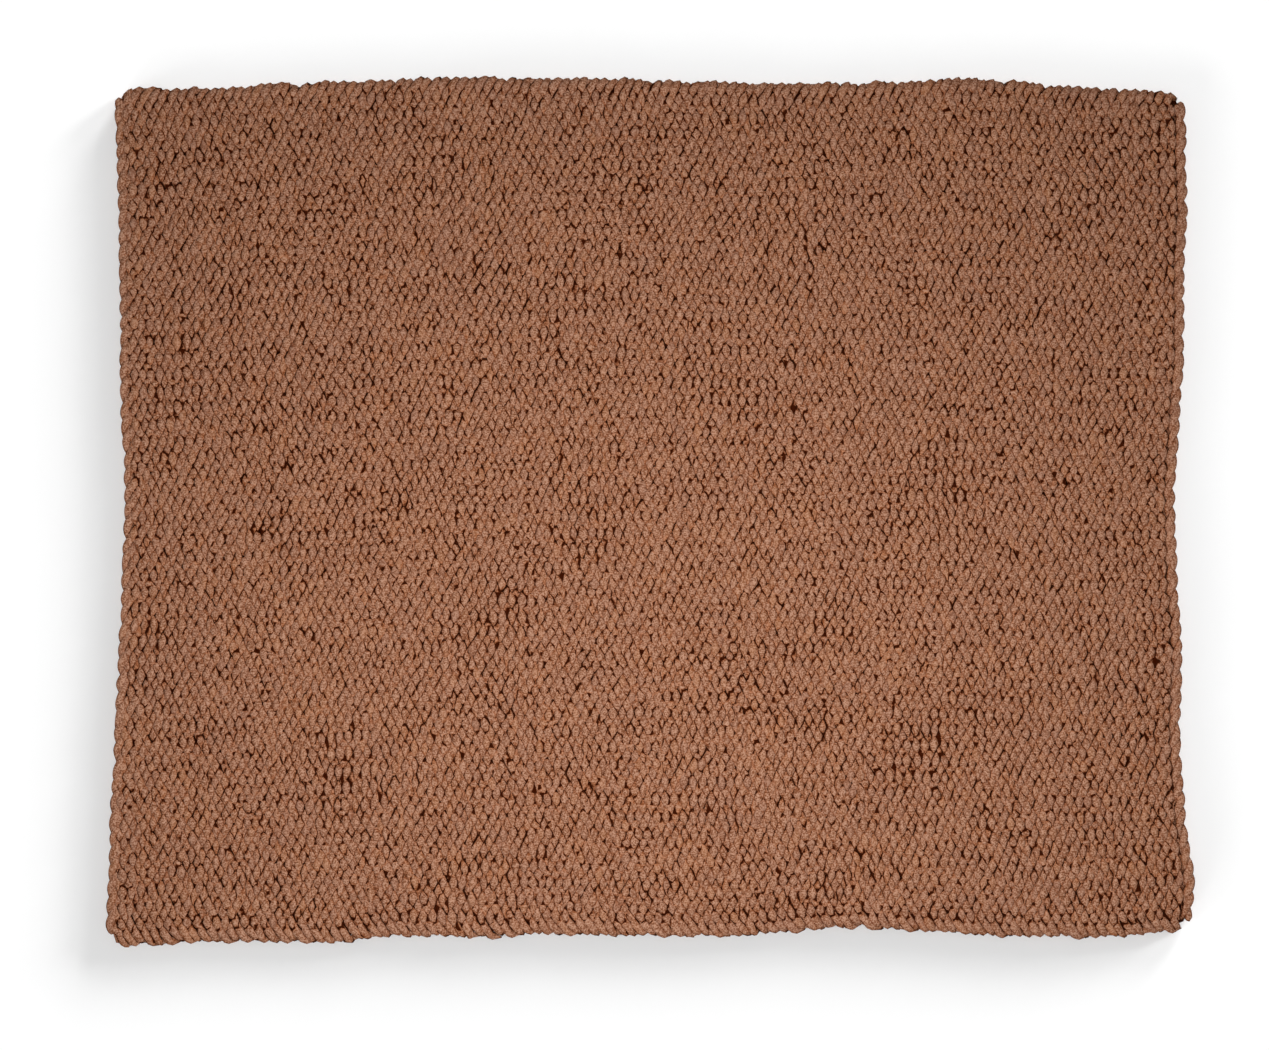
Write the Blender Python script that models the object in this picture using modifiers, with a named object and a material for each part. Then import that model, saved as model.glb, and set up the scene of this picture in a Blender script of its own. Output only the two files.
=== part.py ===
"""A chunky knitted throw blanket of chenille yarn, lying flat.

The whole throw is knitted from one yarn, so it is one solid. Its courses run along Y and
follow each other along X. The solid has the throw's uneven outline, a scallop for each
loop of the rim, a rounded edge, a gently uneven top and a flat underside.

Metres, +Z up. X is the long side, and the origin is the middle of the underside.
"""

import math
from collections import namedtuple

import bmesh
import bpy
from mathutils import Vector

# The knit: loops of a soft yarn about 12 mm thick
COURSE_PITCH = 0.0132
STITCH_PITCH = 0.0243
COURSES = 116
STITCHES = 50

# The cloth
THICKNESS = 0.018
EDGE_ROUND = 0.006
CORNER_RADIUS = 0.030

# The rim: one scallop for every second course on the selvedges, one for every stitch on the ends
SCALLOP_DEPTH = 0.0024
POINTS_PER_SCALLOP = 4
SCALLOPS_ALONG_X = COURSES // 2
SCALLOPS_ALONG_Y = STITCHES
SCALLOPS_PER_CELL = 2
RIM_POINTS_PER_CELL = SCALLOPS_PER_CELL * POINTS_PER_SCALLOP
CELLS_X = SCALLOPS_ALONG_X // SCALLOPS_PER_CELL
CELLS_Y = SCALLOPS_ALONG_Y // SCALLOPS_PER_CELL

RIM_EDGE_ANGLE = math.radians(60)
SAME_PLACE = 1e-6
YARN_COLOUR = (0.31, 0.135, 0.075, 1.0)
YARN_ROUGHNESS = 0.95

# Where each side lies: how far along the side, and how far out from the middle
Station = namedtuple("Station", "along reach")

FAR_SIDE = (
    Station(-0.741, 0.605),
    Station(-0.627, 0.606),
    Station(-0.513, 0.613),
    Station(-0.399, 0.616),
    Station(-0.285, 0.621),
    Station(-0.172, 0.619),
    Station(-0.058, 0.619),
    Station(0.056, 0.615),
    Station(0.170, 0.612),
    Station(0.284, 0.612),
    Station(0.369, 0.614),
    Station(0.455, 0.620),
    Station(0.540, 0.613),
    Station(0.626, 0.606),
    Station(0.740, 0.600),
)
NEAR_SIDE = (
    Station(-0.741, 0.619),
    Station(-0.684, 0.613),
    Station(-0.570, 0.611),
    Station(-0.456, 0.612),
    Station(-0.342, 0.602),
    Station(-0.228, 0.605),
    Station(-0.115, 0.601),
    Station(0.000, 0.602),
    Station(0.113, 0.604),
    Station(0.227, 0.594),
    Station(0.284, 0.589),
    Station(0.398, 0.598),
    Station(0.512, 0.605),
    Station(0.626, 0.604),
    Station(0.740, 0.597),
)
LEFT_END = (
    Station(-0.600, 0.778),
    Station(-0.554, 0.776),
    Station(-0.440, 0.772),
    Station(-0.326, 0.766),
    Station(-0.212, 0.761),
    Station(-0.098, 0.755),
    Station(0.016, 0.751),
    Station(0.073, 0.751),
    Station(0.186, 0.757),
    Station(0.300, 0.757),
    Station(0.414, 0.759),
    Station(0.528, 0.762),
    Station(0.600, 0.766),
)
RIGHT_END = (
    Station(-0.600, 0.774),
    Station(-0.554, 0.777),
    Station(-0.440, 0.763),
    Station(-0.326, 0.756),
    Station(-0.212, 0.759),
    Station(-0.098, 0.752),
    Station(0.016, 0.748),
    Station(0.130, 0.755),
    Station(0.243, 0.762),
    Station(0.357, 0.762),
    Station(0.443, 0.767),
    Station(0.528, 0.764),
    Station(0.600, 0.765),
)

# Low swells and hollows of the top, where the knit lies thicker or thinner
Swell = namedtuple("Swell", "x y radius height")

SWELLS = (
    Swell(-0.52, 0.38, 0.26, 0.0012),
    Swell(-0.10, 0.47, 0.20, -0.0010),
    Swell(0.36, 0.30, 0.28, 0.0014),
    Swell(0.62, -0.05, 0.22, -0.0012),
    Swell(0.30, -0.40, 0.25, 0.0010),
    Swell(-0.16, -0.10, 0.30, 0.0013),
    Swell(-0.58, -0.22, 0.24, -0.0011),
    Swell(-0.34, -0.48, 0.18, 0.0009),
)


def clear_scene():
    for obj in list(bpy.data.objects):
        bpy.data.objects.remove(obj, do_unlink=True)


def smooth_step(t):
    return t * t * (3 - 2 * t)


def reach_at(side, along):
    """How far out a side lies at a place along it, eased from station to station."""
    if along <= side[0].along:
        return side[0].reach
    for here, after in zip(side, side[1:]):
        if along <= after.along:
            share = (along - here.along) / (after.along - here.along)
            return here.reach + (after.reach - here.reach) * smooth_step(share)
    return side[-1].reach


def scallop(share, count):
    """How far the rim draws in between the tops of its loops, at a share of the side's length."""
    return SCALLOP_DEPTH * math.cos(math.pi * count * share) ** 2


def corner_rounding(from_corner):
    """How far a rim point moves along its side and in from it, to turn the corner on an arc."""
    if from_corner >= CORNER_RADIUS:
        return 0.0, 0.0
    turn = (1 - from_corner / CORNER_RADIUS) * math.pi / 4
    along = CORNER_RADIUS * (1 - math.sin(turn)) - from_corner
    return along, CORNER_RADIUS * (1 - math.cos(turn))


def rim_rounding(u, v):
    """How far the point at shares u and v moves towards the middle, in x and in y."""
    from_end = min(u, 1 - u) * COURSES * COURSE_PITCH
    from_side = min(v, 1 - v) * STITCHES * STITCH_PITCH
    if from_side < SAME_PLACE:
        return corner_rounding(from_end)
    if from_end < SAME_PLACE:
        along, inward = corner_rounding(from_side)
        return inward, along
    return 0.0, 0.0


def place_in_outline(u, v):
    """The point of the flat throw at shares u and v, 0 to 1, of its width and length."""
    x = (u - 0.5) * COURSES * COURSE_PITCH
    y = (v - 0.5) * STITCHES * STITCH_PITCH
    left = -reach_at(LEFT_END, y) + scallop(v, SCALLOPS_ALONG_Y)
    right = reach_at(RIGHT_END, y) - scallop(v, SCALLOPS_ALONG_Y)
    near = -reach_at(NEAR_SIDE, x) + scallop(u, SCALLOPS_ALONG_X)
    far = reach_at(FAR_SIDE, x) - scallop(u, SCALLOPS_ALONG_X)
    inward_x, inward_y = rim_rounding(u, v)
    return Vector((
        left + (right - left) * u - math.copysign(inward_x, x),
        near + (far - near) * v - math.copysign(inward_y, y),
        0.0,
    ))


def flat_sheet():
    """A grid with a finely divided rim, drawn to the outline."""
    bpy.ops.mesh.primitive_grid_add(x_subdivisions=CELLS_X, y_subdivisions=CELLS_Y, size=1)
    sheet = bpy.context.active_object
    bm = bmesh.new()
    bm.from_mesh(sheet.data)
    rim = [edge for edge in bm.edges if edge.is_boundary]
    bmesh.ops.subdivide_edges(
        bm, edges=rim, cuts=RIM_POINTS_PER_CELL - 1, quad_corner_type="FAN"
    )
    for vert in bm.verts:
        vert.co = place_in_outline(vert.co.x + 0.5, vert.co.y + 0.5)
    bm.to_mesh(sheet.data)
    bm.free()
    return sheet


def apply_modifiers(obj):
    bpy.context.view_layer.objects.active = obj
    for modifier in list(obj.modifiers):
        bpy.ops.object.modifier_apply(modifier=modifier.name)


def thicken(sheet):
    """Gives the sheet its thickness upwards and rounds its rim."""
    wall = sheet.modifiers.new("thickness", "SOLIDIFY")
    wall.thickness = THICKNESS
    wall.offset = 1
    rounding = sheet.modifiers.new("rounded_rim", "BEVEL")
    rounding.width = EDGE_ROUND
    rounding.segments = 1
    rounding.limit_method = "ANGLE"
    rounding.angle_limit = RIM_EDGE_ANGLE
    apply_modifiers(sheet)


def swell_at(x, y):
    rise = 0.0
    for swell in SWELLS:
        distance = math.hypot(x - swell.x, y - swell.y) / swell.radius
        if distance < 1:
            rise += swell.height * smooth_step(1 - distance)
    return rise


def make_top_uneven(sheet):
    for vert in sheet.data.vertices:
        share = vert.co.z / THICKNESS
        vert.co.z += swell_at(vert.co.x, vert.co.y) * share


def join_flat_underside(sheet):
    """Makes the flat underside one face."""
    bm = bmesh.new()
    bm.from_mesh(sheet.data)
    under = [face for face in bm.faces if all(abs(vert.co.z) < SAME_PLACE for vert in face.verts)]
    bmesh.ops.dissolve_faces(bm, faces=under)
    bm.to_mesh(sheet.data)
    bm.free()


def centre_on_origin(sheet):
    xs = [vert.co.x for vert in sheet.data.vertices]
    ys = [vert.co.y for vert in sheet.data.vertices]
    middle = Vector(((min(xs) + max(xs)) / 2, (min(ys) + max(ys)) / 2, 0))
    for vert in sheet.data.vertices:
        vert.co -= middle


def yarn_material():
    material = bpy.data.materials.new("chenille_yarn")
    material.use_nodes = True
    shader = material.node_tree.nodes["Principled BSDF"]
    shader.inputs["Base Color"].default_value = YARN_COLOUR
    shader.inputs["Roughness"].default_value = YARN_ROUGHNESS
    shader.inputs["Metallic"].default_value = 0.0
    return material


def make_throw():
    throw = flat_sheet()
    throw.name = "throw"
    thicken(throw)
    make_top_uneven(throw)
    join_flat_underside(throw)
    centre_on_origin(throw)
    throw.data.shade_smooth()
    throw.data.set_sharp_from_angle(angle=RIM_EDGE_ANGLE)
    throw.data.materials.append(yarn_material())
    return throw


def main():
    clear_scene()
    collection = bpy.data.collections.new("throw_blanket")
    bpy.context.scene.collection.children.link(collection)
    throw = make_throw()
    for holder in list(throw.users_collection):
        holder.objects.unlink(throw)
    collection.objects.link(throw)


main()
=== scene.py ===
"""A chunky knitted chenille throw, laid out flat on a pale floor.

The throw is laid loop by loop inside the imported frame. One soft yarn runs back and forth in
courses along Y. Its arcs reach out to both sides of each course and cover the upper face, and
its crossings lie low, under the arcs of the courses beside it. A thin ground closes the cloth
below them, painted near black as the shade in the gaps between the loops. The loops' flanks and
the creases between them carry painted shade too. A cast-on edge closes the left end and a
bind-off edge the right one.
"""

import math

import bpy
import numpy as np
from bpy.props import FloatProperty, FloatVectorProperty, IntProperty, PointerProperty
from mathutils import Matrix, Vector


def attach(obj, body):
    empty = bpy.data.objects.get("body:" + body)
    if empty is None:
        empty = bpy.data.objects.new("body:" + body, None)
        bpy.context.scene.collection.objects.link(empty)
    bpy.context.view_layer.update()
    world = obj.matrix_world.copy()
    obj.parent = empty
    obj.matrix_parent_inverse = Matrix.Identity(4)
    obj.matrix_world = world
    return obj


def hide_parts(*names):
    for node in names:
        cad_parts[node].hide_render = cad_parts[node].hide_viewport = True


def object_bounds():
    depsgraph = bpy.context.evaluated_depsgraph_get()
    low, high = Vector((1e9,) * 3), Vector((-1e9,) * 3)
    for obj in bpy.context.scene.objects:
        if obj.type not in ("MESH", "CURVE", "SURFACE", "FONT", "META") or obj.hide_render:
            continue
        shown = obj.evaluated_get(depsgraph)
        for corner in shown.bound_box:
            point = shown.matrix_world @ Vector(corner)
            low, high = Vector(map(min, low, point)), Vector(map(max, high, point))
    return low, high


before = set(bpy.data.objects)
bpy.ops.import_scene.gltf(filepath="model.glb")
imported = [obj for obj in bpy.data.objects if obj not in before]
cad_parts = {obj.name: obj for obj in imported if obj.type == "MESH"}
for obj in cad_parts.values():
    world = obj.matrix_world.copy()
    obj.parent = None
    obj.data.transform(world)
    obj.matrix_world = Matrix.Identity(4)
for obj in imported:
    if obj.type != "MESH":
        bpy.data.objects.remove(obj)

bl_info = {
    "name": "Chenille Throw",
    "version": (1, 0, 0),
    "blender": (4, 5, 0),
    "location": "View3D > Sidebar > Throw",
    "description": "Knits a chunky chenille throw loop by loop and lays it on a floor",
    "category": "Object",
}

CAD_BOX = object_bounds()
CAD_NODE = "throw"
BODY = "root"

# The picture's width in pixels, its scale, and where its middle lies on the floor, in metres
PICTURE_WIDTH = 1269
METRES_A_PIXEL = 0.0014235
PICTURE_MIDDLE = (-0.0228, -0.0199)

# The sides of the yarn's round section, the curve setting that gives them, and how many rings one
# turn of an edge strand has
RING_SIDES = 6
RING_RESOLUTION = 1
EDGE_STEPS = 14
# How far that section is squared and flattened, where its upper corners then lie, and from what
# height up a side of it shows from above, as shares of its radius. The corners and that height
# only place the painted shade in the creases
SQUARING = 0.60
FLATNESS = 0.94
SHOULDER_ASIDE = 0.5 ** SQUARING
SHOULDER_HEIGHT = FLATNESS * 0.75 ** (SQUARING / 2)
SHOWN_FROM = -0.1

# An arc of a loop, from where the yarn crosses under the cloth: how far along its course each ring
# lies, in stitch pitches, how far it reaches out, how high it lies, how thick it is and how freely
# it strays, as shares of the arc's sizes
ARC_SHAPE = np.array([
    (-0.50, 0.00, -1.00, 0.80, 0.0),
    (-0.47, 0.95, 1.30, 0.42, 0.7),
    (-0.25, 1.00, 1.20, 0.93, 0.9),
    (0.00, 1.00, 1.00, 1.36, 1.0),
    (0.25, 1.00, 1.20, 0.93, 0.9),
    (0.47, 0.95, 1.30, 0.42, 0.7),
])
# The outer half of the last arc at a selvedge, from its crest out and down round the rim
RIM_ARC_SHAPE = np.array([
    (0.34, 0.99, 0.62, 1.22, 0.8),
    (0.44, 0.98, -0.40, 1.18, 0.6),
])
# Where the arcs that touch an arc lie: by how many courses, towards its own side, and how many arcs
NEIGHBOURS = ((-1, 0), (1, 0), (1, -1), (1, 1), (2, -1), (2, 1))
# A turn of the yarn at a selvedge, from one course to the next: how far it has come, how high it
# lies and how thick it is, as shares of the turn's sizes
TURN_SHAPE = (
    (-0.55, -0.80, 0.95),
    (0.10, -0.70, 0.95),
    (0.90, -0.70, 0.95),
    (1.55, -0.80, 0.95),
)
# How far a turn strays: its inset and its thickness as shares, its height in metres
TURN_INSETS = (0.7, 1.3)
TURN_WIDTHS = (0.92, 1.12)
TURN_RISES = (-0.001, 0.001)
BAND_SEED = 100

# How an edge strand strays: its winding, its thickness where it lies on top and elsewhere, the
# swelling of its knots and their tips, and the wavelengths of these changes in metres
STRAND_WIND = 0.4
STRAND_WIND_WAVE = 0.07
STRAND_SWELL = 0.20
STRAND_SPREAD = 0.07
STRAND_SPREAD_WAVE = 0.03
STRAND_TONE_WAVE = 0.04
KNOT_SWELL = 0.18
KNOT_TIP = 0.02

DRIFT_WAVES = 7
DRIFT_PITCHES = (0.7, 1.5)

# The scales of the noises in the pile, and the pitch of its rings of tufts in metres
TUFT_SCALE = 440.0
FLECK_SCALE = 200.0
WOBBLE_SCALE = 140.0
PATCH_SCALE = 8.0
SHADE_BREAKUP_SCALE = 55.0
FIBRE_SCALE = 500.0
TUFT_PITCH = 0.0027
# Painted shade on the loops: how far inside the outline of a loop its darker flank and its dark
# crease begin and are full, and how far flecks and a coarser noise move them, in metres
FLANK_SHADE_REACH = (0.0033, 0.0019)
CREASE_SHADE_REACH = (0.0022, 0.0016)
FLECK_SHADE_STRAY = 0.0008
BREAKUP_SHADE_STRAY = 0.0026


def smooth_step(share):
    """Eases a share from 0 to 1."""
    share = np.clip(share, 0, 1)
    return share * share * (3 - 2 * share)


def drift(x, y, wavelength, seed):
    """A smooth random field, mostly -1 to 1, that changes over a wavelength in metres."""
    dice = np.random.default_rng(seed)
    total = np.zeros(np.broadcast(x, y).shape)
    for _ in range(DRIFT_WAVES):
        heading = dice.uniform(0, math.tau)
        pitch = wavelength * dice.uniform(*DRIFT_PITCHES)
        start = dice.uniform(0, math.tau)
        total += np.sin((x * math.cos(heading) + y * math.sin(heading)) * math.tau / pitch + start)
    return total / math.sqrt(DRIFT_WAVES)


class KnitSizes(bpy.types.PropertyGroup):
    """How the cloth is knitted"""

    courses: IntProperty(
        name="Courses", description="Courses of loops from the left end to the right end",
        default=114, min=2,
    )
    stitches: IntProperty(
        name="Stitches", description="Stitches in each course", default=50, min=2,
    )
    bands: IntProperty(
        name="Bands", description="Pieces that the courses are kept in", default=6, min=1,
    )
    yarn: FloatProperty(
        name="Yarn", description="Thickness of the yarn", default=0.0096, unit="LENGTH",
    )
    arc_reach: FloatProperty(
        name="Arc reach", description="How far an arc reaches from its course, in course pitches",
        default=0.75,
    )
    arc_height: FloatProperty(
        name="Arc height", description="How far the arcs rise over the middle of the cloth",
        default=0.0040, unit="LENGTH",
    )
    middle: FloatProperty(
        name="Middle", description="Height of the middle of the cloth over the floor",
        default=0.0080, unit="LENGTH",
    )
    left_inset: FloatProperty(
        name="Left inset", description="Where the first course lies, from the left end",
        default=0.0120, unit="LENGTH",
    )
    right_inset: FloatProperty(
        name="Right inset", description="Where the last course lies, from the right end",
        default=0.0175, unit="LENGTH",
    )
    side_inset: FloatProperty(
        name="Side inset", description="Room for the last arcs at the two selvedges",
        default=0.0090, unit="LENGTH",
    )
    end_reach: FloatProperty(
        name="End reach", description="How far the end courses reach under the edge strands",
        default=0.20,
    )
    turn_inset: FloatProperty(
        name="Turn inset", description="How far inside the ends of the courses the yarn turns",
        default=0.0016, unit="LENGTH",
    )
    far_knots: FloatProperty(
        name="Far knots", description="How far the courses stand out at the far side",
        default=0.0012, unit="LENGTH",
    )
    near_knots: FloatProperty(
        name="Near knots", description="How far the courses stand out at the near side",
        default=0.0024, unit="LENGTH",
    )


class Unevenness(bpy.types.PropertyGroup):
    """How far the hand of the knitter strays"""

    seed: IntProperty(name="Seed", description="Starts the random numbers", default=11)
    size: FloatProperty(
        name="Arc size", description="Spread of the arcs' thickness", default=0.08,
    )
    rows: FloatProperty(
        name="Rows", description="How far the arcs' thickness changes from row to row",
        default=0.04,
    )
    stretch: FloatProperty(
        name="Stretch", description="Spread of the arcs' length", default=0.07,
    )
    along: FloatProperty(
        name="Along", description="Spread of the arcs along their course",
        default=0.0010, unit="LENGTH",
    )
    across: FloatProperty(
        name="Across", description="Spread of the arcs across their course",
        default=0.0006, unit="LENGTH",
    )
    rise: FloatProperty(
        name="Rise", description="Spread of the arcs' height", default=0.0006, unit="LENGTH",
    )
    layering: FloatProperty(
        name="Layering", description="How far the arcs of one side lie over those of the other",
        default=0.0008, unit="LENGTH",
    )
    tilt: FloatProperty(
        name="Tilt", description="Spread of how far one end of an arc lies over the other",
        default=0.0010, unit="LENGTH",
    )
    lean: FloatProperty(
        name="Lean", description="Spread of the arcs' lean", default=0.0007, unit="LENGTH",
    )
    lean_drift: FloatProperty(
        name="Lean drift", description="How far the lean changes over the cloth",
        default=0.0004, unit="LENGTH",
    )
    far_lean: FloatProperty(
        name="Far lean", description="How far the last arcs lean at the far side",
        default=0.0028, unit="LENGTH",
    )
    near_lean: FloatProperty(
        name="Near lean", description="How far the last arcs lean at the near side",
        default=0.0042, unit="LENGTH",
    )
    wander: FloatProperty(
        name="Wander", description="How far the courses wander", default=0.0030, unit="LENGTH",
    )


class EdgeSizes(bpy.types.PropertyGroup):
    """The twisted edge strands at the two ends"""

    ply: FloatProperty(
        name="Ply", description="Thickness of each of the two plies", default=0.0100,
        unit="LENGTH",
    )
    lift: FloatProperty(
        name="Lift", description="How far the strand's plies lie over the floor",
        default=0.0044, unit="LENGTH",
    )
    corner_gap: FloatProperty(
        name="Corner gap", description="How far from the corners the strands end in a knot",
        default=0.006, unit="LENGTH",
    )
    knot: FloatProperty(
        name="Knot", description="Length of the rounded knots at the ends of the strands",
        default=0.012, unit="LENGTH",
    )
    cast_on_twist: FloatProperty(
        name="Cast-on twist", description="How far the plies lie from the strand's middle, left",
        default=0.0030, unit="LENGTH",
    )
    bind_off_twist: FloatProperty(
        name="Bind-off twist", description="How far the plies lie from the middle, right",
        default=0.0033, unit="LENGTH",
    )


class YarnFinish(bpy.types.PropertyGroup):
    """The pile's colours, and the painted shade on its flanks, in its creases and inside the cloth"""

    pile: FloatVectorProperty(
        name="Pile", description="Colour of the pile", subtype="COLOR", size=3,
        default=(0.345, 0.162, 0.096),
    )
    pale: FloatVectorProperty(
        name="Pale pile", description="Colour of the palest tufts", subtype="COLOR", size=3,
        default=(0.480, 0.264, 0.176),
    )
    deep: FloatVectorProperty(
        name="Deep pile", description="Colour between the tufts", subtype="COLOR", size=3,
        default=(0.190, 0.068, 0.030),
    )
    warm: FloatVectorProperty(
        name="Warm pile", description="Colour that some loops lean to", subtype="COLOR", size=3,
        default=(0.46, 0.20, 0.090),
    )
    cool: FloatVectorProperty(
        name="Cool pile", description="Colour that other loops lean to", subtype="COLOR", size=3,
        default=(0.28, 0.140, 0.098),
    )
    # Painted shade: a tint that darkens the sides of each loop, and a near-black colour painted into
    # the creases between the loops, where shade falls
    painted_flank_shade: FloatVectorProperty(
        name="Flank", description="Tint of a loop's sides, beside the crease", subtype="COLOR",
        size=3, default=(0.90, 0.56, 0.28),
    )
    painted_crease_shade: FloatVectorProperty(
        name="Crease", description="Colour of the creases between the loops", subtype="COLOR",
        size=3, default=(0.030, 0.003, 0.000),
    )
    # Painted shade: the near-black colours of the sheet under the loops, seen in the gaps between
    # them, stand in for the shade there
    inside: FloatVectorProperty(
        name="Inside", description="Colour of the inside of the cloth", subtype="COLOR", size=3,
        default=(0.030, 0.005, 0.001),
    )
    fibres: FloatVectorProperty(
        name="Inside fibres", description="Colour of the palest fibres inside the cloth",
        subtype="COLOR", size=3, default=(0.075, 0.014, 0.003),
    )


class StageSettings(bpy.types.PropertyGroup):
    """The floor, the light and the camera"""

    floor: FloatVectorProperty(
        name="Floor", description="Colour of the floor", subtype="COLOR", size=3,
        default=(0.88, 0.88, 0.88),
    )
    lens: FloatProperty(name="Lens", description="Focal length", default=85.0)
    sensor: FloatProperty(name="Sensor", description="Width of the camera's sensor", default=36.0)
    sky: FloatProperty(name="Sky", description="Strength of the light from all round", default=0.27)
    key: FloatProperty(name="Key", description="Power of the main light", default=38.3)
    floor_wash: FloatProperty(
        name="Floor wash", description="Strength of the light from above on the floor alone",
        default=1.22,
    )
    floor_sun: FloatProperty(
        name="Floor sun", description="Strength of the low light on the floor alone",
        default=11.4,
    )
    floor_glow: FloatProperty(
        name="Floor glow", description="Strength of the low light from the other side",
        default=4.8,
    )


class Outline:
    """The throw's outline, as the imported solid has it, and the way points are laid inside it."""

    STATIONS = 41
    WINDOW = 0.014
    CORNER_RADIUS = 0.030
    RIM_FROM = 0.25
    RIM_TO = 0.75

    def __init__(self, node):
        points = np.array([vert.co for vert in node.data.vertices])
        top = points[:, 2].max()
        rim = points[(points[:, 2] > self.RIM_FROM * top) & (points[:, 2] < self.RIM_TO * top)]
        x, y = rim[:, 0], rim[:, 1]
        self.left = self.side(y, -x)
        self.right = self.side(y, x)
        self.near = self.side(x, -y)
        self.far = self.side(x, y)
        self.width = self.left[1].mean() + self.right[1].mean()
        self.length = self.near[1].mean() + self.far[1].mean()

    def side(self, along, out):
        """How far out one side lies at stations along it."""
        limit = along.max() - self.CORNER_RADIUS - self.WINDOW
        stations = np.linspace(-limit, limit, self.STATIONS)
        reach = [out[np.abs(along - station) < self.WINDOW].max() for station in stations]
        return stations, np.array(reach)

    def place(self, across, along):
        """Lays points given by their distance from the left end and from the near side."""
        x = across - self.width / 2
        y = along - self.length / 2
        left = -np.interp(y, *self.left)
        right = np.interp(y, *self.right)
        near = -np.interp(x, *self.near)
        far = np.interp(x, *self.far)
        inward_x, inward_y = self.corner(across, along)
        return (
            left + (right - left) * across / self.width - np.sign(x) * inward_x,
            near + (far - near) * along / self.length - np.sign(y) * inward_y,
        )

    def corner(self, across, along):
        """How far points near a corner move in, to turn it on an arc."""
        from_end = np.minimum(across, self.width - across)
        from_side = np.minimum(along, self.length - along)
        out_x = np.maximum(self.CORNER_RADIUS - from_end, 0)
        out_y = np.maximum(self.CORNER_RADIUS - from_side, 0)
        distance = np.maximum(np.hypot(out_x, out_y), 1e-9)
        drawn = 1 - np.maximum(out_x, out_y) / distance
        return out_x * drawn, out_y * drawn

    def from_rim(self, across, along):
        """The distance to the nearest side."""
        return np.minimum(
            np.minimum(across, self.width - across), np.minimum(along, self.length - along)
        )


class Yarn:
    """A length of yarn: at each point its thickness, its tone and the arc that it belongs to."""

    def __init__(self, points, radii, tones, owners):
        self.points = points
        self.radii = radii
        self.tones = tones
        self.owners = owners
        steps = np.linalg.norm(np.diff(points, axis=0), axis=1)
        self.along = np.concatenate([[0], np.cumsum(steps)])


def arc_rings(arcs):
    """The shape of each ring of each arc of a course, with the outer halves of its rim arcs."""
    rings = np.tile(ARC_SHAPE, (arcs, 1, 1))
    rings[-1, -2:] = RIM_ARC_SHAPE
    rings[0, 1:3] = RIM_ARC_SHAPE[::-1] * (-1, 1, 1, 1, 1)
    return np.moveaxis(rings, 2, 0)


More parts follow.
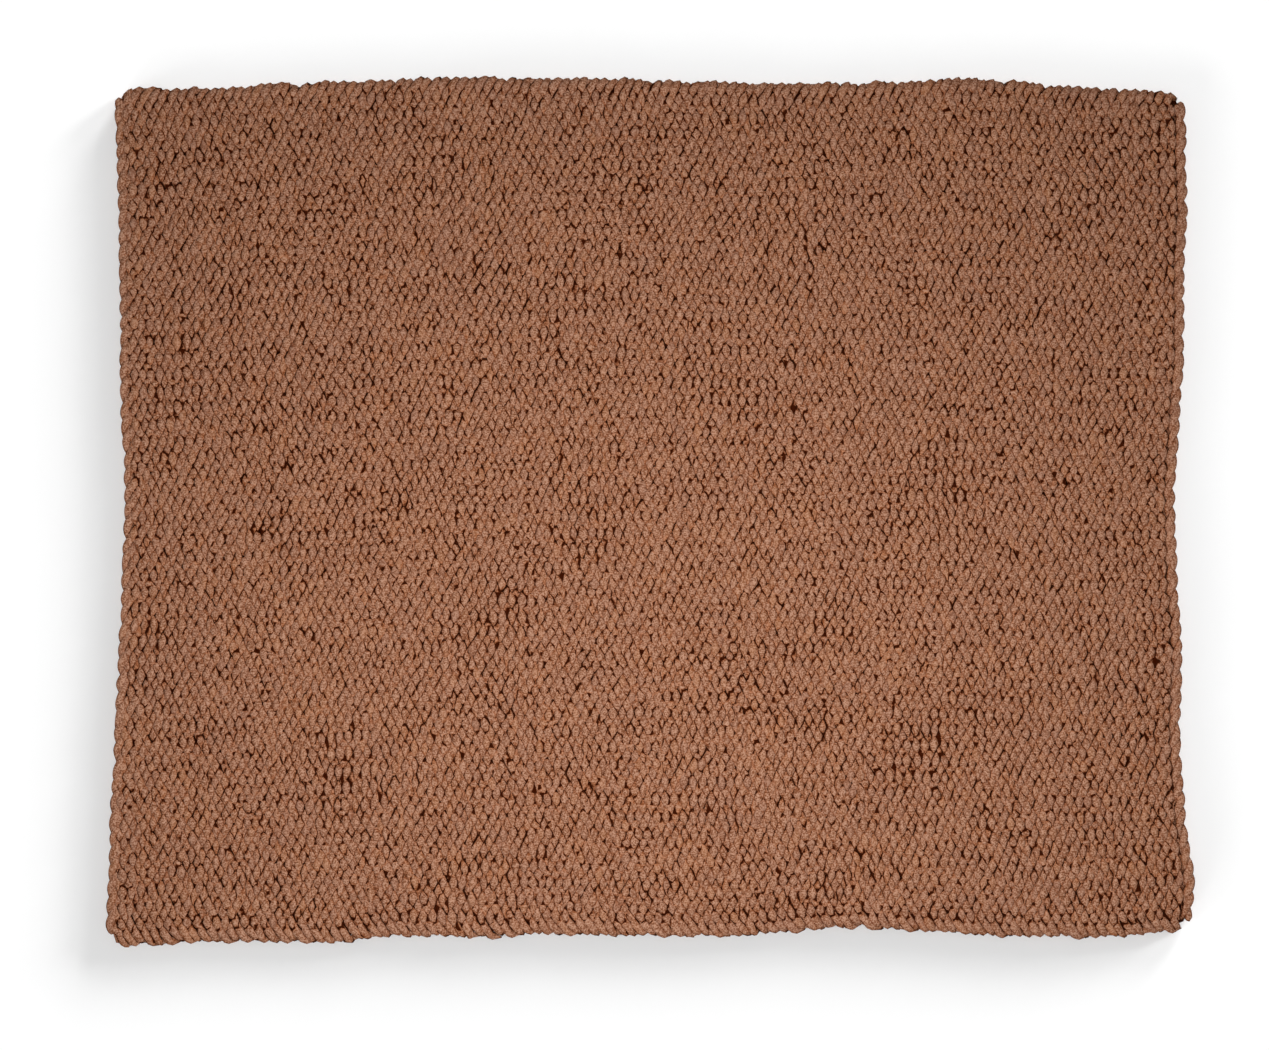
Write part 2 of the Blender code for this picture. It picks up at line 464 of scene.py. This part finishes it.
class Loops:
    """The arcs of all the courses, ring by ring: x, y, height and radius, and their tones."""

    # Where the middle of a side's first arc lies, in stitch pitches, and how steeply a lean acts
    FIRST_ARC = 0.25
    LEAN_SLOPE = 4
    # The most that an arc strays, in spreads, and the ranges of the knots at the two sides
    MOST = 2.2
    FAR_KNOTS = (-0.5, 1)
    NEAR_KNOTS = (0, 2)
    # The wavelengths of the slow changes over the cloth, in metres
    LEAN_WAVE = 0.30
    ACROSS_WAVE = 0.42
    RIPPLE_WAVE = 0.15
    ALONG_WAVE = 0.38
    LAYER_WAVE = 0.22
    ROW_WAVE = 0.07
    # How strong the ripple is, how much rows are drawn out across the courses, how far one side's
    # arcs lie on top throughout, and how far in from the rims the slow changes are full
    RIPPLE = 0.45
    ROW_SQUEEZE = 0.3
    ON_TOP = 0.5
    FADE = 0.08
    # Empty courses and arcs kept round the others, so that each arc has all its neighbours
    SPARE_COURSES = 2
    SPARE_ARCS = 1
    # The clearance of a point with no arc over it, the height, in arc heights over the middle, below
    # which a point between the arcs is painted in shade, and how fast that painted shade deepens
    FAR = 0.01
    SHADE_LOW = 0.75
    DEPTH_SHADE_SHARE = 0.6

    def __init__(self, knit, uneven, outline):
        # The height below which points between the arcs are painted in shade
        self.low = knit.middle + self.SHADE_LOW * knit.arc_height
        dice = np.random.default_rng(uneven.seed)
        insets = knit.left_inset + knit.right_inset
        course_pitch = (outline.width - insets) / (knit.courses - 1)
        stitch_pitch = (outline.length - 2 * knit.side_inset) / (knit.stitches + 2 * self.FIRST_ARC)
        self.arcs = 2 * knit.stitches + 1
        shape = (knit.courses, self.arcs, 1)
        step, outward, rise, thickness, free = arc_rings(self.arcs)

        def spread(amount):
            return amount * np.clip(dice.standard_normal(shape), -self.MOST, self.MOST)

        def slow(x, y, wavelength, number):
            return drift(x, y, wavelength, uneven.seed + number)

        arc = np.arange(self.arcs)[:, None]
        side = np.where(arc % 2 == 0, -1, 1)
        reach = np.full(shape, knit.arc_reach * course_pitch)
        reach[0, ::2] *= knit.end_reach
        reach[-1, 1::2] *= knit.end_reach
        lift = spread(uneven.rise) + spread(uneven.tilt) * 2 * step
        height = knit.middle + knit.arc_height * rise + lift * free
        radius = knit.yarn / 2 * thickness * (1 + spread(uneven.size) * free)

        step = step * (1 + spread(uneven.stretch))
        course = np.arange(knit.courses)[:, None, None] * course_pitch + knit.left_inset
        across = course + reach * side * outward
        along = stitch_pitch * (self.FIRST_ARC + arc / 2 + step) + knit.side_inset
        layer = side * (self.ON_TOP + slow(across, along, self.LAYER_WAVE, 5))
        height = height + uneven.layering * layer * free
        rows = slow(self.ROW_SQUEEZE * across, along, self.ROW_WAVE, 6)
        radius = radius * (1 + uneven.rows * rows * free)
        height[0, ::2] = knit.yarn / 2
        height[-1, 1::2] = knit.yarn / 2

        fade = smooth_step(outline.from_rim(across, along) / self.FADE)
        rim_rows = stitch_pitch / 2
        to_far_side = np.exp((along - outline.length + knit.side_inset) / rim_rows)
        to_near_side = np.exp((knit.side_inset - along) / rim_rows)
        lean = uneven.far_lean * to_far_side - uneven.near_lean * to_near_side
        lean = lean + spread(uneven.lean)
        lean = lean + fade * uneven.lean_drift * slow(across, along, self.LEAN_WAVE, 1)
        wander_across = slow(across, along, self.ACROSS_WAVE, 2)
        wander_across += self.RIPPLE * slow(across, along, self.RIPPLE_WAVE, 3)
        wander_along = slow(across, along, self.ALONG_WAVE, 4)
        across = across + fade * uneven.wander * wander_across + self.LEAN_SLOPE * lean * step
        across = across + spread(uneven.across) * free
        along = along + fade * uneven.wander * wander_along + spread(uneven.along) * free
        along[:, -1, -2:] += knit.far_knots * dice.uniform(*self.FAR_KNOTS, (knit.courses, 1))
        along[:, 0, 1:3] -= knit.near_knots * dice.uniform(*self.NEAR_KNOTS, (knit.courses, 1))
        x, y = outline.place(across, along)
        self.rings = np.stack([x, y, height, radius], axis=3)
        self.tones = spread(1.0).repeat(len(ARC_SHAPE), axis=2)
        border = ((self.SPARE_COURSES,) * 2, (self.SPARE_ARCS,) * 2, (0, 0), (0, 0))
        self.bordered = np.pad(self.rings, border, constant_values=np.nan)

    def course(self, number):
        """What a Yarn is made from, for one course. It starts past its first crossing."""
        rings = self.rings[number].reshape(-1, 4)[1:]
        owners = (number * self.arcs + np.arange(self.arcs)).repeat(len(ARC_SHAPE))[1:]
        return rings[:, :3], rings[:, 3], self.tones[number].ravel()[1:], owners

    def clearance(self, owners, x, y, z):
        """How far points on some arcs lie from the arcs that stand over them, below 0 inside.

        Away from the rims, a point that lies low between the arcs counts as close to them, so that it
        is painted in shade.
        """
        course, arc = np.divmod(owners, self.arcs)
        side = np.where(arc % 2 == 0, -1, 1)
        nearest = np.full(len(x), self.FAR)
        for by_course, by_arc in NEIGHBOURS:
            courses = course + by_course * side + self.SPARE_COURSES
            beside = self.bordered[courses, arc + by_arc + self.SPARE_ARCS]
            for ring in range(len(ARC_SHAPE) - 1):
                start, end = beside[:, ring], beside[:, ring + 1]
                share = (y - start[:, 1]) / (end[:, 1] - start[:, 1])
                middle_x, _, middle_z, radius = (start + (end - start) * share[:, None]).T
                rise = (z - middle_z) / radius
                wide = radius * np.interp(rise, (0, SHOULDER_HEIGHT), (1, SHOULDER_ASIDE))
                over = (share >= 0) & (share <= 1) & (rise < SHOULDER_HEIGHT)
                distance = np.abs(x - middle_x) - wide
                nearest = np.where(over, np.minimum(nearest, distance), nearest)
        # Points that lie low away from the rims are painted in shade as well
        inside = (arc > 0) & (arc < self.arcs - 1) & (course > 0) & (course < len(self.rings) - 1)
        return np.where(inside, np.minimum(nearest, self.DEPTH_SHADE_SHARE * (z - self.low)), nearest)


def turn(knit, dice, start, end, out):
    """The yarn's turn at a selvedge, from the end of one course to the next. out is +1 or -1."""
    share, rise, width = (np.array(row) for row in zip(*TURN_SHAPE))
    points = start + (end - start) * share[:, None]
    points[:, 1] -= out * knit.turn_inset * dice.uniform(*TURN_INSETS)
    points[:, 2] = knit.middle + knit.arc_height * rise + dice.uniform(*TURN_RISES)
    radii = knit.yarn / 2 * width * dice.uniform(*TURN_WIDTHS)
    tone = np.full(len(share), dice.uniform(-1, 1))
    return points, radii, tone, np.full(len(share), -1)


def band_yarn(knit, uneven, loops, first, last):
    """The yarn of the courses from first up to last, run back and forth."""
    dice = np.random.default_rng(uneven.seed + BAND_SEED + first)
    parts = []
    for course in range(first, last):
        way = 1 if course % 2 == 0 else -1
        parts.append([values[::way] for values in loops.course(course)])
        if course + 1 < knit.courses:
            start = parts[-1][0][-1]
            end = loops.course(course + 1)[0][-1 if way == 1 else 0]
            parts.append(turn(knit, dice, start, end, way))
    return Yarn(*(np.concatenate(values) for values in zip(*parts)))


def edge_line(edge, outline, inset, from_left, steps):
    """The middle of an edge strand, along one end of the throw, and how far along it each point is."""
    margin = inset + edge.corner_gap
    along = np.linspace(margin, outline.length - margin, steps)
    across = np.full(steps, inset if from_left else outline.width - inset)
    return np.stack(outline.place(across, along), axis=1), along - margin


def edge_ply(edge, outline, offset, pitch, start, from_left, seed):
    """One ply of an edge strand: it winds along the strand's middle with a given pitch."""
    inset = edge.ply / 2 + offset
    steps = round(outline.length / pitch * EDGE_STEPS)
    line, distance = edge_line(edge, outline, inset, from_left, steps)
    heading = np.gradient(line, axis=0)
    heading /= np.linalg.norm(heading, axis=1)[:, None]
    sideways = np.stack([heading[:, 1], -heading[:, 0]], axis=1)
    stray = STRAND_WIND * drift(distance, 0, STRAND_WIND_WAVE, seed)
    wind = math.tau * distance / pitch + start + stray
    place = line + offset * np.sin(wind)[:, None] * sideways
    uneven = STRAND_SPREAD * drift(distance, 0, STRAND_SPREAD_WAVE, seed + 1)
    radius = edge.ply / 2 * (1 + STRAND_SWELL * np.cos(wind) + uneven)
    from_end = np.minimum(distance, distance[-1] - distance) / edge.knot
    radius *= 1 + KNOT_SWELL * smooth_step(2 - 2 * from_end)
    rounding = np.sqrt(np.clip(1 - (1 - 2 * from_end) ** 2, KNOT_TIP, 1))
    radius *= np.where(from_end < 0.5, rounding, 1)
    height = edge.ply / 2 + edge.lift + offset * np.cos(wind)
    tone = drift(distance, 0, STRAND_TONE_WAVE, seed + 2)
    return Yarn(np.insert(place, 2, height, axis=1), radius, tone, np.full(len(tone), -1))


def deselect_all():
    for obj in bpy.context.selected_objects:
        obj.select_set(False)


def pick(obj):
    deselect_all()
    obj.select_set(True)
    bpy.context.view_layer.objects.active = obj


def yarn_mesh(name, yarns, loops=None):
    """A mesh of round yarns that rest on the floor, with their own tone and length."""
    curve = bpy.data.curves.new(name, "CURVE")
    curve.dimensions = "3D"
    curve.bevel_depth = 1.0
    curve.bevel_resolution = RING_RESOLUTION
    for yarn in yarns:
        spline = curve.splines.new("POLY")
        spline.points.add(len(yarn.points) - 1)
        spline.points.foreach_set("co", np.insert(yarn.points, 3, 1.0, axis=1).ravel())
        spline.points.foreach_set("radius", yarn.radii)
    piece = bpy.data.objects.new(name, curve)
    bpy.context.scene.collection.objects.link(piece)
    pick(piece)
    bpy.ops.object.convert(target="MESH")
    mesh = piece.data
    count = sum(len(yarn.points) for yarn in yarns) * RING_SIDES
    if len(mesh.vertices) != count:
        raise RuntimeError(f"{name} has {len(mesh.vertices)} vertices, and {count} were expected")
    for item in ("along", "tones"):
        values = np.concatenate([getattr(yarn, item) for yarn in yarns]).repeat(RING_SIDES)
        mesh.attributes.new(item, "FLOAT", "POINT").data.foreach_set("value", values)
    settle(mesh, yarns, loops)
    close_ends(piece, [len(yarn.points) for yarn in yarns])
    bpy.ops.object.shade_smooth()
    return piece


def vertex_places(mesh):
    places = np.empty(len(mesh.vertices) * 3)
    mesh.vertices.foreach_get("co", places)
    return places.reshape(-1, 3)


def settle(mesh, yarns, loops):
    """Squares the round yarn a little, as its neighbours press it, and rests it on the floor.

    It also notes, as clear, how far each vertex lies inside the outline that shows from above;
    this places the painted shade on the loops' flanks and in the creases between them.
    """
    middles = np.concatenate([yarn.points for yarn in yarns]).repeat(RING_SIDES, axis=0)
    radii = np.concatenate([yarn.radii for yarn in yarns]).repeat(RING_SIDES)
    owners = np.concatenate([yarn.owners for yarn in yarns]).repeat(RING_SIDES)
    places = vertex_places(mesh)
    offset = places - middles
    rise = offset[:, 2] / radii
    squared = np.sign(rise) * np.abs(rise) ** SQUARING * FLATNESS
    aside = np.clip(np.hypot(offset[:, 0], offset[:, 1]) / radii, 1e-6, 1)
    offset[:, :2] *= (aside ** (SQUARING - 1))[:, None]
    places[:, :2] = middles[:, :2] + offset[:, :2]
    places[:, 2] = np.maximum(middles[:, 2] + squared * radii, 0)
    mesh.vertices.foreach_set("co", places.ravel())

    # Painted shade: the nearer a point lies to its yarn's side or to a neighbouring arc over it, the
    # darker it is painted
    clear = radii - np.hypot(offset[:, 0], offset[:, 1])
    if loops:
        shown = (owners >= 0) & (rise > SHOWN_FROM)
        clearance = loops.clearance(owners[shown], *places[shown].T)
        clear[shown] = np.minimum(clear[shown], clearance)
    mesh.attributes.new("clear", "FLOAT", "POINT").data.foreach_set("value", clear)


def close_ends(piece, lengths):
    """Draws the first and the last ring of each yarn to a point."""
    rings = []
    start = 0
    for length in lengths:
        rings += [start, start + length - 1]
        start += length
    for ring in rings[::-1]:
        for group in (piece.data.vertices, piece.data.edges, piece.data.polygons):
            group.foreach_set("select", np.zeros(len(group), bool))
        for vert in piece.data.vertices[ring * RING_SIDES:(ring + 1) * RING_SIDES]:
            vert.select = True
        bpy.ops.object.mode_set(mode="EDIT")
        bpy.ops.mesh.select_mode(type="VERT")
        bpy.ops.mesh.merge(type="CENTER")
        bpy.ops.object.mode_set(mode="OBJECT")


class Socket:
    """An output of a material's node. Sums, differences and products of them add Math nodes."""

    def __init__(self, finish, output):
        self.finish = finish
        self.output = output

    def join(self, operation, first, second):
        return self.finish.node("ShaderNodeMath", {"operation": operation}, {0: first, 1: second})

    def __add__(self, other):
        return self.join("ADD", self, other)

    def __sub__(self, other):
        return self.join("SUBTRACT", self, other)

    def __rsub__(self, other):
        return self.join("SUBTRACT", other, self)

    def __mul__(self, other):
        return self.join("MULTIPLY", self, other)

    __radd__ = __add__
    __rmul__ = __mul__


class Finish:
    """A material under construction."""

    def __init__(self, name):
        self.material = bpy.data.materials.new(name)
        self.material.use_nodes = True
        self.nodes = self.material.node_tree.nodes
        self.links = self.material.node_tree.links
        self.shader = self.nodes["Principled BSDF"]

    def node(self, kind, settings=None, inputs=None, output=0):
        """Adds a node: its settings first, then the values or links of its sockets."""
        node = self.nodes.new(kind)
        for name, value in (settings or {}).items():
            setattr(node, name, value)
        for name, value in (inputs or {}).items():
            self.set(node.inputs[name], value)
        return Socket(self, node.outputs[output])

    def set(self, target, value):
        if isinstance(value, Socket):
            self.links.new(value.output, target)
        else:
            target.default_value = value

    def mix(self, factor, first, second, way="MIX"):
        """A blend of two colours."""
        settings = {"data_type": "RGBA", "blend_type": way, "clamp_factor": True}
        return self.node("ShaderNodeMix", settings, {0: factor, 6: first, 7: second}, output=2)

    def noise(self, vector, scale, detail=2.0, roughness=0.5):
        inputs = {"Vector": vector, "Scale": scale, "Detail": detail, "Roughness": roughness}
        return self.node("ShaderNodeTexNoise", None, inputs)

    def remap(self, value, low, high):
        """A number from 0 at low to 1 at high."""
        inputs = {"Value": value, "From Min": low, "From Max": high}
        return self.node("ShaderNodeMapRange", {"clamp": True}, inputs)

    def attribute(self, name):
        settings = {"attribute_name": name, "attribute_type": "GEOMETRY"}
        return self.node("ShaderNodeAttribute", settings, output="Fac")

    def object_place(self):
        return self.node("ShaderNodeTexCoord", output="Object")


def rgba(colour):
    return (*colour, 1.0)


def chenille_finish(finish):
    """Chenille: soft matt tufts in rings along the yarn, a little different from loop to loop, and
    painted shade on the loops' flanks and in the creases between them.
    """
    made = Finish("chenille_yarn_finish")
    place = made.object_place()
    along = made.attribute("along")
    tone = made.attribute("tones")

    tufts = made.noise(place, TUFT_SCALE, 1.0, 0.6)
    flecks = made.noise(place, FLECK_SCALE, 2.0, 0.6)
    wobble = made.noise(place, WOBBLE_SCALE, 1.0)
    winding = along * (math.tau / TUFT_PITCH) + wobble * 9.0
    rings = made.node("ShaderNodeMath", {"operation": "SINE"}, {0: winding})
    grain = 0.8 * tufts + 0.2 * flecks + 0.015 * rings
    pale = made.remap(grain, 0.50, 0.60)
    deep = made.remap(1 - grain, 0.50, 0.60)
    colour = made.mix(pale, rgba(finish.pile), rgba(finish.pale))
    colour = made.mix(deep, colour, rgba(finish.deep))

    patches = made.noise(place, PATCH_SCALE, 2.0)
    shift = tone + 3.0 * (patches - 0.5)
    warm = made.remap(shift, 0.2, 2.7)
    cool = made.remap(shift, -0.2, -2.7)
    colour = made.mix(warm * 0.3, colour, rgba(finish.warm))
    colour = made.mix(cool * 0.3, colour, rgba(finish.cool))

    # Painted shade: the flanks of each loop are tinted darker and the creases between the loops are
    # painted near black, from the clear attribute, with noise to break up the lines
    shade_breakup = made.noise(place, SHADE_BREAKUP_SCALE, 1.0)
    clear = made.attribute("clear") + FLECK_SHADE_STRAY * flecks + BREAKUP_SHADE_STRAY * shade_breakup
    painted_flank_shade = made.remap(clear, *FLANK_SHADE_REACH)
    painted_crease_shade = made.remap(clear, *CREASE_SHADE_REACH)
    colour = made.mix(painted_flank_shade * 0.7, colour, rgba(finish.painted_flank_shade), "MULTIPLY")
    colour = made.mix(painted_crease_shade * 0.97, colour, rgba(finish.painted_crease_shade))
    made.set(made.shader.inputs["Base Color"], colour)

    relief = 0.5 * tufts + 0.35 * flecks + 0.10 * rings
    bump = made.node(
        "ShaderNodeBump", None, {"Strength": 0.9, "Distance": 0.0018, "Height": relief}
    )
    made.set(made.shader.inputs["Normal"], bump)
    made.shader.inputs["Roughness"].default_value = 0.95
    made.shader.inputs["Specular IOR Level"].default_value = 0.0
    made.shader.inputs["Sheen Weight"].default_value = 0.01
    made.shader.inputs["Sheen Roughness"].default_value = 0.5
    made.shader.inputs["Sheen Tint"].default_value = (1.0, 0.62, 0.40, 1.0)
    return made.material


def painted_shade_ground_finish(finish):
    """The inside of the cloth, seen between the loops and from below, painted near black as shade."""
    made = Finish("painted_shade_ground_finish")
    fibres = made.noise(made.object_place(), FIBRE_SCALE, 2.0)
    colour = made.mix(fibres, rgba(finish.inside), rgba(finish.fibres))
    made.set(made.shader.inputs["Base Color"], colour)
    made.shader.inputs["Roughness"].default_value = 1.0
    made.shader.inputs["Specular IOR Level"].default_value = 0.05
    return made.material


def dress(piece, material):
    """Gives a piece its finish and the body that it rides on, and hides the CAD node that it stands
    for.
    """
    piece.data.materials.clear()
    piece.data.materials.append(material)
    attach(piece, BODY)
    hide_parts(CAD_NODE)


def yarn_material():
    made = bpy.data.materials.get("chenille_yarn_finish")
    return made or chenille_finish(bpy.context.scene.throw_finish)


class THROW_OT_knit(bpy.types.Operator):
    """Knits the courses, in bands of like courses"""

    bl_idname = "throw.knit"
    bl_label = "Knit the Courses"

    def execute(self, context):
        knit = context.scene.throw_knit
        uneven = context.scene.throw_uneven
        loops = Loops(knit, uneven, Outline(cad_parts[CAD_NODE]))
        borders = np.linspace(0, knit.courses, knit.bands + 1).round().astype(int)
        for number, (first, last) in enumerate(zip(borders, borders[1:]), start=1):
            yarn = band_yarn(knit, uneven, loops, first, last)
            dress(yarn_mesh(f"knit_band_{number}", [yarn], loops), yarn_material())
        return {"FINISHED"}


class THROW_OT_edge_strands(bpy.types.Operator):
    """Winds the cast-on edge at the left end and the bind-off edge at the right end"""

    bl_idname = "throw.edge_strands"
    bl_label = "Wind the Edge Strands"

    STITCHES_A_TURN = 2
    CAST_ON_SEED = 31
    BIND_OFF_SEED = 41

    def execute(self, context):
        edge = context.scene.throw_edge
        knit = context.scene.throw_knit
        outline = Outline(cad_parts[CAD_NODE])
        pitch = self.STITCHES_A_TURN * outline.length / knit.stitches
        for name, twist, from_left, seed in (
            ("cast_on_edge", edge.cast_on_twist, True, self.CAST_ON_SEED),
            ("bind_off_edge", edge.bind_off_twist, False, self.BIND_OFF_SEED),
        ):
            plies = [
                edge_ply(edge, outline, twist, pitch, start, from_left, seed + ply)
                for ply, start in enumerate((0, math.pi))
            ]
            dress(yarn_mesh(name, plies), yarn_material())
        return {"FINISHED"}


class THROW_OT_ground(bpy.types.Operator):
    """Lays the thin ground of the cloth, which has its cut size, lies under the loops and is painted
    near black as shade
    """

    bl_idname = "throw.ground"
    bl_label = "Lay the Ground"

    COLUMNS = 60
    ROWS = 48
    INSET = 0.006
    HEIGHT = 0.0045
    THICKNESS = 0.0015

    def execute(self, context):
        outline = Outline(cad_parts[CAD_NODE])
        deselect_all()
        bpy.ops.mesh.primitive_grid_add(
            x_subdivisions=self.COLUMNS, y_subdivisions=self.ROWS, size=1
        )
        ground = context.active_object
        ground.name = "cloth_ground"
        places = np.array([vert.co for vert in ground.data.vertices]) + 0.5
        across = self.INSET + (outline.width - 2 * self.INSET) * places[:, 0]
        along = self.INSET + (outline.length - 2 * self.INSET) * places[:, 1]
        x, y = outline.place(across, along)
        flat = np.stack([x, y, np.full(len(x), self.HEIGHT)], axis=1)
        ground.data.vertices.foreach_set("co", flat.ravel())
        wall = ground.modifiers.new("thickness", "SOLIDIFY")
        wall.thickness = self.THICKNESS
        wall.offset = 1
        bpy.ops.object.modifier_apply(modifier=wall.name)
        bpy.ops.object.shade_smooth()
        dress(ground, painted_shade_ground_finish(context.scene.throw_finish))
        return {"FINISHED"}


class THROW_OT_stage(bpy.types.Operator):
    """Lays the floor and sets up the light and the camera"""

    bl_idname = "throw.stage"
    bl_label = "Set the Stage"

    FLOOR_SIZE = 12
    MOTTLE = (0.8, 0.8, 0.8)
    MOTTLE_SCALE = 3.0
    MOTTLE_SHARE = 0.02
    KEY_PLACE = (0.0, -0.25, 1.9)
    KEY_AIM = (0.0, -0.4, 0.0)
    KEY_SIZE = 0.6
    WASH_SPREAD = math.radians(20)
    LOW_SPREAD = math.radians(18)
    LOW_HEADINGS = ((1.20, 0.68), (0.68, 1.20))
    LOW_RISE = 0.14

    def execute(self, context):
        stage = context.scene.throw_stage
        self.floor(context, stage)
        self.lights(context, stage)
        self.camera(context, stage)
        return {"FINISHED"}

    def floor(self, context, stage):
        deselect_all()
        bpy.ops.mesh.primitive_plane_add(size=self.FLOOR_SIZE)
        floor = context.active_object
        floor.name = "floor"
        made = Finish("floor_finish")
        mottle = made.noise(made.object_place(), self.MOTTLE_SCALE, 2.0)
        shade = made.mix(mottle * self.MOTTLE_SHARE, rgba(stage.floor), rgba(self.MOTTLE))
        made.set(made.shader.inputs["Base Color"], shade)
        made.shader.inputs["Roughness"].default_value = 0.9
        floor.data.materials.append(made.material)

    def light(self, name, kind, place, aim, energy):
        """Adds a light at a place, turned to shine towards another."""
        turned = (Vector(aim) - Vector(place)).to_track_quat("-Z", "Y").to_euler()
        bpy.ops.object.light_add(type=kind, location=place, rotation=turned)
        light = bpy.context.active_object
        light.name = name
        light.data.energy = energy
        return light

    def lights(self, context, stage):
        middle = (0, 0, 0)
        key = self.light("key_light", "AREA", self.KEY_PLACE, self.KEY_AIM, stage.key)
        key.data.size = self.KEY_SIZE
        wash = self.light("floor_wash", "SUN", (0, 0, 2), middle, stage.floor_wash)
        wash.data.angle = self.WASH_SPREAD
        low = []
        for name, way, strength in (
            ("floor_sun", 1, stage.floor_sun),
            ("floor_glow", -1, stage.floor_glow),
        ):
            share = strength / len(self.LOW_HEADINGS)
            for number, (x, y) in enumerate(self.LOW_HEADINGS, start=1):
                place = (way * x, way * y, self.LOW_RISE)
                low.append(self.light(f"{name}_{number}", "SUN", place, middle, share))
                low[-1].data.angle = self.LOW_SPREAD
        floor_only = bpy.data.collections.new("floor_only")
        not_floor = bpy.data.collections.new("not_floor")
        for group in (floor_only, not_floor):
            group.objects.link(bpy.data.objects["floor"])
        not_floor.collection_objects[0].light_linking.link_state = "EXCLUDE"
        key.light_linking.receiver_collection = not_floor
        for light in (wash, *low):
            light.light_linking.receiver_collection = floor_only
        world = bpy.data.worlds.new("studio")
        world.use_nodes = True
        background = world.node_tree.nodes["Background"]
        background.inputs["Color"].default_value = (1.0, 1.0, 1.0, 1.0)
        background.inputs["Strength"].default_value = stage.sky
        context.scene.world = world
        context.scene.view_settings.view_transform = "Standard"

    def camera(self, context, stage):
        distance = PICTURE_WIDTH * METRES_A_PIXEL * stage.lens / stage.sensor
        above = CAD_BOX[1].z + distance
        bpy.ops.object.camera_add(location=(*PICTURE_MIDDLE, above), rotation=(0, 0, 0))
        camera = context.active_object
        camera.name = "camera"
        camera.data.lens = stage.lens
        camera.data.sensor_width = stage.sensor
        context.scene.camera = camera


class THROW_PT_panel(bpy.types.Panel):
    """Lists the steps that make the throw"""

    bl_idname = "THROW_PT_panel"
    bl_label = "Chenille Throw"
    bl_space_type = "VIEW_3D"
    bl_region_type = "UI"
    bl_category = "Throw"

    def draw(self, context):
        for settings in SETTINGS:
            box = self.layout.box()
            group = getattr(context.scene, settings)
            for name in type(group).__annotations__:
                box.prop(group, name)
        for operator in STEPS:
            self.layout.operator(operator.bl_idname)


SETTINGS = {
    "throw_knit": KnitSizes,
    "throw_uneven": Unevenness,
    "throw_edge": EdgeSizes,
    "throw_finish": YarnFinish,
    "throw_stage": StageSettings,
}
STEPS = (THROW_OT_stage, THROW_OT_knit, THROW_OT_edge_strands, THROW_OT_ground)
CLASSES = (*SETTINGS.values(), *STEPS, THROW_PT_panel)


def register():
    for item in CLASSES:
        bpy.utils.register_class(item)
    for name, group in SETTINGS.items():
        setattr(bpy.types.Scene, name, PointerProperty(type=group))


def unregister():
    for name in SETTINGS:
        delattr(bpy.types.Scene, name)
    for item in reversed(CLASSES):
        bpy.utils.unregister_class(item)


def main():
    register()
    bpy.ops.throw.stage()
    bpy.ops.throw.knit()
    bpy.ops.throw.edge_strands()
    bpy.ops.throw.ground()


if __name__ == "__main__":
    main()
